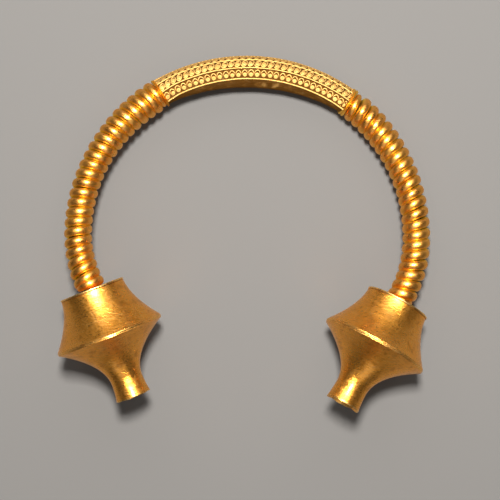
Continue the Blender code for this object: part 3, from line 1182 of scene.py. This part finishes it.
@dataclass
class Collar:
    """Two ridges round the bar's end, with a groove between them.

    Its profile gives each point's share of the collar's length and how proud it stands, or None
    where it lies in the hole.
    """

    ring: Ring
    bar: Bar
    arm: Arm
    ridge: float = 1.05 * MM
    sunk: float = 1.0 * MM
    rounding: Pair = (0.15, 0.6)
    hole_play: float = 0.2 * MM
    gap: float = 0.03 * MM
    # How strongly the wire finish's painted groove glow lies over the whole collar.
    shade: float = 0.5
    steps: int = 120
    profile: tuple[tuple[float, float | None], ...] = (
        (0.0, None), (0.0, 0.2), (0.1, 0.8), (0.22, 1.0), (0.34, 0.8), (0.44, 0.15),
        (0.54, 0.75), (0.68, 1.0), (0.82, 0.85), (0.92, 0.4), (1.0, 0.2), (1.0, None))

    def build(self) -> None:
        """Draws the collar's profile round the bar's outline."""
        centre_depth = self.arm.bow - self.arm.sink
        girth = ArmPath(self.ring, self.arm).girth(0.0)
        hole = girth - WIRE_THICKNESS + self.hole_play
        end = 0.0 if self.arm.way > 0 else 1.0

        def place(step: int, around: float) -> Vector:
            """A point of the collar.

            Args:
                step: The ring of points that it is in.
                around: Its share of the way round.

            Returns:
                The point, in the ring's frame.
            """
            back, proud = self.profile[round(around * len(self.profile)) % len(self.profile)]
            ridge = self.ridge * (proud or 0.0)
            depth, height = self.bar.outline(end, step % self.steps / self.steps, ridge)
            turn = math.atan2(height, depth - centre_depth)
            reach = math.hypot(depth - centre_depth, height)
            round_reach = girth - self.sunk + ridge
            reach += (round_reach - reach) * (self.rounding[0] + self.rounding[1] * back)
            if proud is None:
                reach = hole
            depth, height = centre_depth + reach * math.cos(turn), reach * math.sin(turn)
            first, last = self.arm.bar_end, self.arm.wire_start
            angle = first.angle + (last.angle - first.angle) * back
            start_run = first.along(depth, height)
            run = start_run + (last.along(depth, height) - start_run) * back
            radius = self.ring.radius + depth
            angle += run / radius + self.arm.way * self.gap / self.ring.radius
            return self.ring.radial(angle) * radius + UP * height

        form = Form()
        form.sweep(len(self.profile), self.steps + 1, place, lambda step, around: self.shade,
                   closed=True)
        bmesh.ops.remove_doubles(form.bm, verts=form.bm.verts, dist=WELD)
        form.lay(f"collar_{self.arm.side}_beads", self.ring, WIRE,
                 stands_for=f"collar_{self.arm.side}")


# ---- windings


@dataclass
class Winding:
    """Thick wire wound tightly round an arm, drawn out to a point at both ends."""

    ring: Ring
    arm: Arm
    half_depth: float = 2.75 * MM
    fullness: float = 0.492
    squareness: float = 0.93
    tip: float = 0.3
    start: float = 0.2
    first_taper: float = 0.8
    clearance: float = 0.1 * MM
    spread_play: float = 0.14 * MM
    reach_play: Pair = (0.06, 0.03)
    sides: int = 20
    steps_a_turn: int = 44
    # Where round the wire its painted yellow reflection glow begins, and how far it takes to fade
    # in.
    hollow_from: float = 0.85
    hollow_fade: float = 0.7

    def __post_init__(self) -> None:
        """Works out the pitch between the first and the last crest."""
        self.path = ArmPath(self.ring, self.arm)
        self.full_turns = self.arm.turns - 1.0 - self.arm.last_taper
        self.first_run = abs(self.arm.first_crest - self.arm.collar_angle) * self.ring.radius
        self.last_run = abs(self.arm.last_crest - self.arm.collar_angle) * self.ring.radius
        self.pitch = (self.last_run - self.first_run) / self.full_turns
        self.end_face = self.path.length - 0.5 * DISC_THICKNESS

    def lean(self, run: float, phase: float) -> float:
        """Leans the turns.

        Args:
            run: How far along the arm.
            phase: The wire's turn round it.

        Returns:
            How far the turn runs ahead there.
        """
        angle = self.path.angle(run) / DEG
        before = self.arm.leans[0]
        for after in self.arm.leans[1:]:
            if (angle - after.angle) * self.arm.way < 0.0:
                break
            before = after
        else:
            after = before
        gap = after.angle - before.angle
        share = smoothstep((angle - before.angle) / gap) if gap else 0.0
        sideways = before.sideways + (after.sideways - before.sideways) * share
        near = before.near + (after.near - before.near) * share
        return (sideways * math.sin(phase) + near * math.cos(phase)) * DEG * self.ring.radius

    def track(self, turned: float) -> tuple[float, float, float, float]:
        """Follows the wire.

        Args:
            turned: Turns from the tip at the collar.

        Returns:
            Its run along the arm, its turn round it, its thickness as a share and its half width.
        """
        phase = math.pi / 2.0 + TURN * turned
        through = (turned - 1.0) / self.full_turns
        growth = self.arm.pitch_growth
        eased = (through + growth * through ** 3 / 3.0) / (1.0 + growth / 3.0)
        width = self.fullness * self.pitch * (1.0 + growth * through ** 2) / (1.0 + growth / 3.0)
        share = min(1.0, self.tip + (1.0 - self.tip) * (turned - self.start) / self.first_taper,
                    self.tip + (1.0 - self.tip) * (self.arm.turns - turned) / self.arm.last_taper)
        run = self.first_run + (self.last_run - self.first_run) * eased
        run += self.lean(run, phase)
        start = self.arm.wire_start
        girth = self.path.girth(0.0)
        depth, height = self.arm.way * math.sin(phase) * girth, math.cos(phase) * girth
        slope = start.along(depth, height) / (self.ring.radius + depth)
        behind = self.arm.way * (start.angle - self.arm.collar_angle + slope) * self.ring.radius
        spare = self.clearance + width * share
        return min(max(run, behind + spare), self.end_face - spare), phase, share, width

    def stations(self) -> list[tuple[Vector, Vector, Vector]]:
        """Lays out the wire along its track.

        Returns:
            At each step, its centre and its half depth and half width as vectors.
        """
        steps = round(self.arm.turns * self.steps_a_turn)
        seed = 2.0 if self.arm.way > 0 else 7.0
        made = []
        for step in range(steps + 1):
            turned = self.start + (self.arm.turns - self.start) * step / steps
            run, phase, share, width = self.track(turned)
            inner_turns = (smoothstep((turned - 1.0) / 1.5)
                           * smoothstep((self.arm.turns - turned - 0.8) / 1.5))
            run += self.spread_play * wobble(seed, 0.9 * turned) * inner_turns
            along, over, across = self.path.axes(run)
            depth = self.half_depth * math.sqrt(share)
            reach = self.path.girth(run) - WIRE_THICKNESS + depth
            reach += (self.reach_play[0] * wobble(seed + 1.0, 1.7 * turned)
                      + self.reach_play[1] * wobble(seed + 2.0, 9.0 * turned)) * MM
            out = over * math.cos(phase) + across * math.sin(phase)
            made.append((self.path.centre(run) + out * reach, out * depth, along * width * share))
        return made

    def squared(self, value: float) -> float:
        """Fills the wire's round section out a little."""
        return math.copysign(abs(value) ** self.squareness, value)

    def build(self) -> None:
        """Draws the wire."""
        stations = self.stations()

        def place(step: int, around: float) -> Vector:
            """A point of the wire.

            Args:
                step: The ring of points that it is in.
                around: Its share of the way round.

            Returns:
                The point, in the ring's frame.
            """
            centre, out, side = stations[step]
            cos, sin = spoke(around)
            return centre + out * self.squared(cos) + side * self.squared(sin)

        def hollow_shading(step: int, around: float) -> float:
            """Painted yellow reflection glow, deeper the further in between the turns."""
            return smoothstep((self.hollow_from - spoke(around)[0]) / self.hollow_fade)

        form = Form()
        form.sweep(self.sides, len(stations), place, hollow_shading)
        form.lay(f"winding_{self.arm.side}_wire", self.ring, WIRE, sharp=70.0,
                 stands_for=f"winding_{self.arm.side}")


# ---- terminals


@dataclass
class Terminal:
    """A double cone of sheet gold with its closing disc."""

    ring: Ring
    arm: Arm
    upper_curve: float = 1.7
    lower_curve: float = 2.0
    flare_curve: float = 1.8
    neck_share: float = 0.72
    edge: float = 1.0 * MM
    edge_fall: float = 0.28 * MM
    wall: float = 0.9 * MM
    lip: float = 0.25 * MM
    recess: float = 2.5 * MM
    mouth_waves: float = 0.55 * MM
    wall_play: float = 0.07 * MM
    rim_sheen_and_wear: float = 0.45
    mouth_wear: float = 0.7
    disc_lip: float = 0.3 * MM
    gap: float = 0.14 * MM
    upper_steps: int = 30
    lower_steps: int = 40
    crowding: float = 1.15
    flare_steps: int = 10
    steps: int = 192
    disc_steps: int = 128

    def profile(self) -> list[Pair]:
        """Draws the outline from the disc's seat, over the rim and down to the mouth's floor.

        Returns:
            Radius and height of each point.
        """
        sizes = self.arm.terminal
        top = -0.5 * DISC_THICKNESS - self.gap
        rim = -sizes.upper_length
        mouth = rim - sizes.lower_length
        neck = rim - self.neck_share * sizes.lower_length
        wide = sizes.rim_radius - self.edge_fall
        points = [(0.0, top), (sizes.disc_radius - 1.0 * MM, top),
                  (sizes.disc_radius - 0.25 * MM, top)]
        for step in range(self.upper_steps + 1):
            share = step / self.upper_steps
            height = top - 0.2 * MM + (rim + self.edge - top + 0.2 * MM) * share
            grown = (wide - sizes.disc_radius) * share ** self.upper_curve
            points.append((sizes.disc_radius + grown, height))
        for turn in (50.0, 25.0, 0.0, -25.0, -50.0):
            points.append((sizes.rim_radius - self.edge * (1.0 - math.cos(turn * DEG)),
                           rim + 0.75 * self.edge * math.sin(turn * DEG)))
        start = rim - self.edge
        for step in range(self.lower_steps + 1):
            share = (step / self.lower_steps) ** self.crowding
            left_over = (wide - sizes.neck_radius) * (1.0 - share) ** self.lower_curve
            points.append((sizes.neck_radius + left_over, start + (neck - start) * share))
        for step in range(1, self.flare_steps + 1):
            share = step / self.flare_steps
            flare = (sizes.mouth_radius - sizes.neck_radius) * share ** self.flare_curve
            points.append((sizes.neck_radius + flare, neck + (mouth + self.lip - neck) * share))
        inside = sizes.mouth_radius - self.wall
        points += [(sizes.mouth_radius - 0.12 * MM, mouth), (inside + 0.12 * MM, mouth),
                   (inside, mouth + self.lip), (inside - 0.2 * MM, mouth + 0.6 * self.recess),
                   (inside - 1.0 * MM, mouth + self.recess), (0.0, mouth + self.recess)]
        return points

    def shape(self, spot: Vector) -> Vector:
        """Beats the dents and a hand's unevenness into the turned wall.

        Args:
            spot: A point of it.

        Returns:
            Where the point moves to.
        """
        radius = math.hypot(spot.x, spot.y)
        if radius < 1.0 * MM:
            return spot
        azimuth = math.atan2(spot.y, spot.x)
        sizes = self.arm.terminal
        seed = 11.0 if self.arm.way > 0 else 17.0
        change = self.wall_play * wobble(seed, 40.0 * spot.z + 1.5 * math.cos(azimuth))
        near_mouth = smoothstep((0.9 * sizes.lower_length + sizes.upper_length + spot.z)
                                / (-4.0 * MM))
        waves = (wobble(seed + 3.0, 1.8 * math.cos(azimuth) + 2.0)
                 + 0.7 * wobble(seed + 4.0, 2.6 * math.sin(azimuth)))
        for dent in self.arm.dents:
            gap_along = (spot.z + dent.height) / dent.along
            gap_round = math.remainder(azimuth - dent.azimuth, TURN) * radius / dent.round
            change -= dent.depth * math.exp(-gap_along ** 2 - gap_round ** 2)
        return Vector((spot.x * (1.0 + change / radius), spot.y * (1.0 + change / radius),
                       spot.z + self.mouth_waves * near_mouth * (waves + 0.5)))

    def rim_sheen_and_mouth_wear(self, spot: Vector) -> float:
        """Paints a highlight along the rim's edge, partly wear, and wears the mouth bright.

        Args:
            spot: A point of the wall.

        Returns:
            How worn it is, with the painted highlight on the rim, from 0 to 1.
        """
        sizes = self.arm.terminal
        radius = math.hypot(spot.x, spot.y)
        from_rim = abs(spot.z + sizes.upper_length)
        past_mouth = sizes.upper_length + sizes.lower_length - 0.8 * MM + spot.z
        # A painted highlight along the rim's edge, partly wear.
        rim = self.rim_sheen_and_wear - self.rim_sheen_and_wear * smoothstep((from_rim - 0.5 * MM) / (1.0 * MM))
        mouth = self.mouth_wear * smoothstep(past_mouth / (-0.6 * MM))
        return max(rim if radius > 0.8 * sizes.rim_radius else 0.0,
                   mouth if radius > 9.5 * MM else 0.0)

    def build_cone(self) -> None:
        """Turns the double cone."""
        form = Form()
        form.turned(self.profile(), self.steps, self.arm.terminal.stand(), self.rim_sheen_and_mouth_wear, self.shape)
        form.lay(f"terminal_{self.arm.side}_cone", self.ring, SHEET, sharp=40.0,
                 stands_for=f"terminal_{self.arm.side}")

    def build_disc(self) -> None:
        """Turns the closing disc, its edge a little proud of the cone."""
        radius = self.arm.terminal.disc_radius + self.disc_lip
        half = 0.5 * DISC_THICKNESS
        profile = [(0.0, half), (radius - 0.4 * MM, half), (radius - 0.1 * MM, 0.7 * half),
                   (radius, 0.2 * half), (radius, -0.4 * half), (radius - 0.12 * MM, -half),
                   (0.0, -half)]

        def wear_and_sheen(spot: Vector) -> float:
            """A painted highlight round the edge, partly wear."""
            return 0.8 if math.hypot(spot.x, spot.y) > radius - self.disc_lip else 0.1

        form = Form()
        form.turned(profile, self.disc_steps, self.arm.terminal.stand(), wear_and_sheen)
        form.lay(f"disc_{self.arm.side}_plate", self.ring, SHEET, sharp=40.0,
                 stands_for=f"closing_disc_{self.arm.side}")


# ---- the studio


@dataclass(frozen=True)
class Lamp:
    """A soft lamp: where it hangs in the ring's frame, its size, its power and its colour."""

    name: str
    place: Triple
    size: Pair
    power: float
    colour: Triple = (1.0, 0.98, 0.95)


@dataclass
class Studio:
    """The floor, the lamps and the camera that looks straight at the ring's face."""

    ring: Ring
    eye: Triple = (2.07 * MM, -8.15 * MM, 1.0)
    lens: float = 114.3
    sensor: float = 36.0
    floor_half: float = 1.5
    floor_drop: float = 0.05 * MM
    floor_colour: Triple = (0.16, 0.154, 0.147)
    room_colour: Triple = (0.9, 0.86, 0.82)
    room_strength: float = 0.10
    lamps: tuple[Lamp, ...] = (
        Lamp("key", (0.0, 0.38, 1.5), (0.20, 0.24), 52.0),
        Lamp("crown", (0.0, 1.2, 1.05), (1.8, 0.8), 7.0),
        Lamp("fill", (0.0, -1.25, 0.95), (1.0, 1.2), 3.0),
        Lamp("canopy", (0.05, 0.2, 1.3), (1.5, 1.5), 1.8),
    )

    def lay_floor(self) -> None:
        """Lays a plain pale floor."""
        form = Form()
        bmesh.ops.create_grid(form.bm, x_segments=1, y_segments=1, size=self.floor_half)
        bmesh.ops.translate(form.bm, vec=UP * -self.floor_drop, verts=form.bm.verts)
        floor = put("floor", form.as_mesh("floor"))
        floor.data.materials.append(Recipe("pale floor").finished(
            {"Base Color": (*self.floor_colour, 1.0), "Roughness": 0.9}))

    def hang_lamps(self) -> None:
        """Hangs each lamp and turns it to the ring."""
        for lamp in self.lamps:
            light = bpy.data.lights.new(lamp.name, "AREA")
            light.shape = "RECTANGLE"
            light.size, light.size_y = lamp.size
            light.energy = lamp.power
            light.color = lamp.colour
            hung = put(lamp.name, light)
            hung.location = self.ring.lying() @ Vector(lamp.place)
            hung.rotation_euler = hung.location.to_track_quat("Z", "Y").to_euler()

    def light_room(self) -> None:
        """Fills the room with a soft, dim warm light."""
        world = bpy.data.worlds.new("room")
        bpy.context.scene.world = world
        world.use_nodes = True
        room = world.node_tree.nodes["Background"]
        room.inputs["Color"].default_value = (*self.room_colour, 1.0)
        room.inputs["Strength"].default_value = self.room_strength
        bpy.context.scene.view_settings.view_transform = "Standard"

    def set_camera(self) -> None:
        """Sets the camera over the ring, square to its plane."""
        camera = bpy.data.cameras.new("camera")
        camera.lens = self.lens
        camera.sensor_width = self.sensor
        camera.clip_start = 0.05
        seen = put("camera", camera)
        seen.matrix_world = self.ring.lying() @ Matrix.Translation(self.eye)
        bpy.context.scene.camera = seen

    def build(self) -> None:
        """Sets up the whole studio."""
        self.lay_floor()
        self.hang_lamps()
        self.light_room()
        self.set_camera()


def main() -> None:
    """Builds the torc piece by piece, dresses it and lights it."""
    logging.basicConfig(level=logging.INFO, format="%(name)s %(message)s")
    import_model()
    ring = Ring()
    bar = Bar(ring)
    bar.build_core()
    bar.build_filigree()
    for arm in (LEFT, RIGHT):
        Collar(ring, bar, arm).build()
        Winding(ring, arm).build()
        terminal = Terminal(ring, arm)
        terminal.build_cone()
        terminal.build_disc()
    Studio(ring).build()


if __name__ == "__main__":
    main()
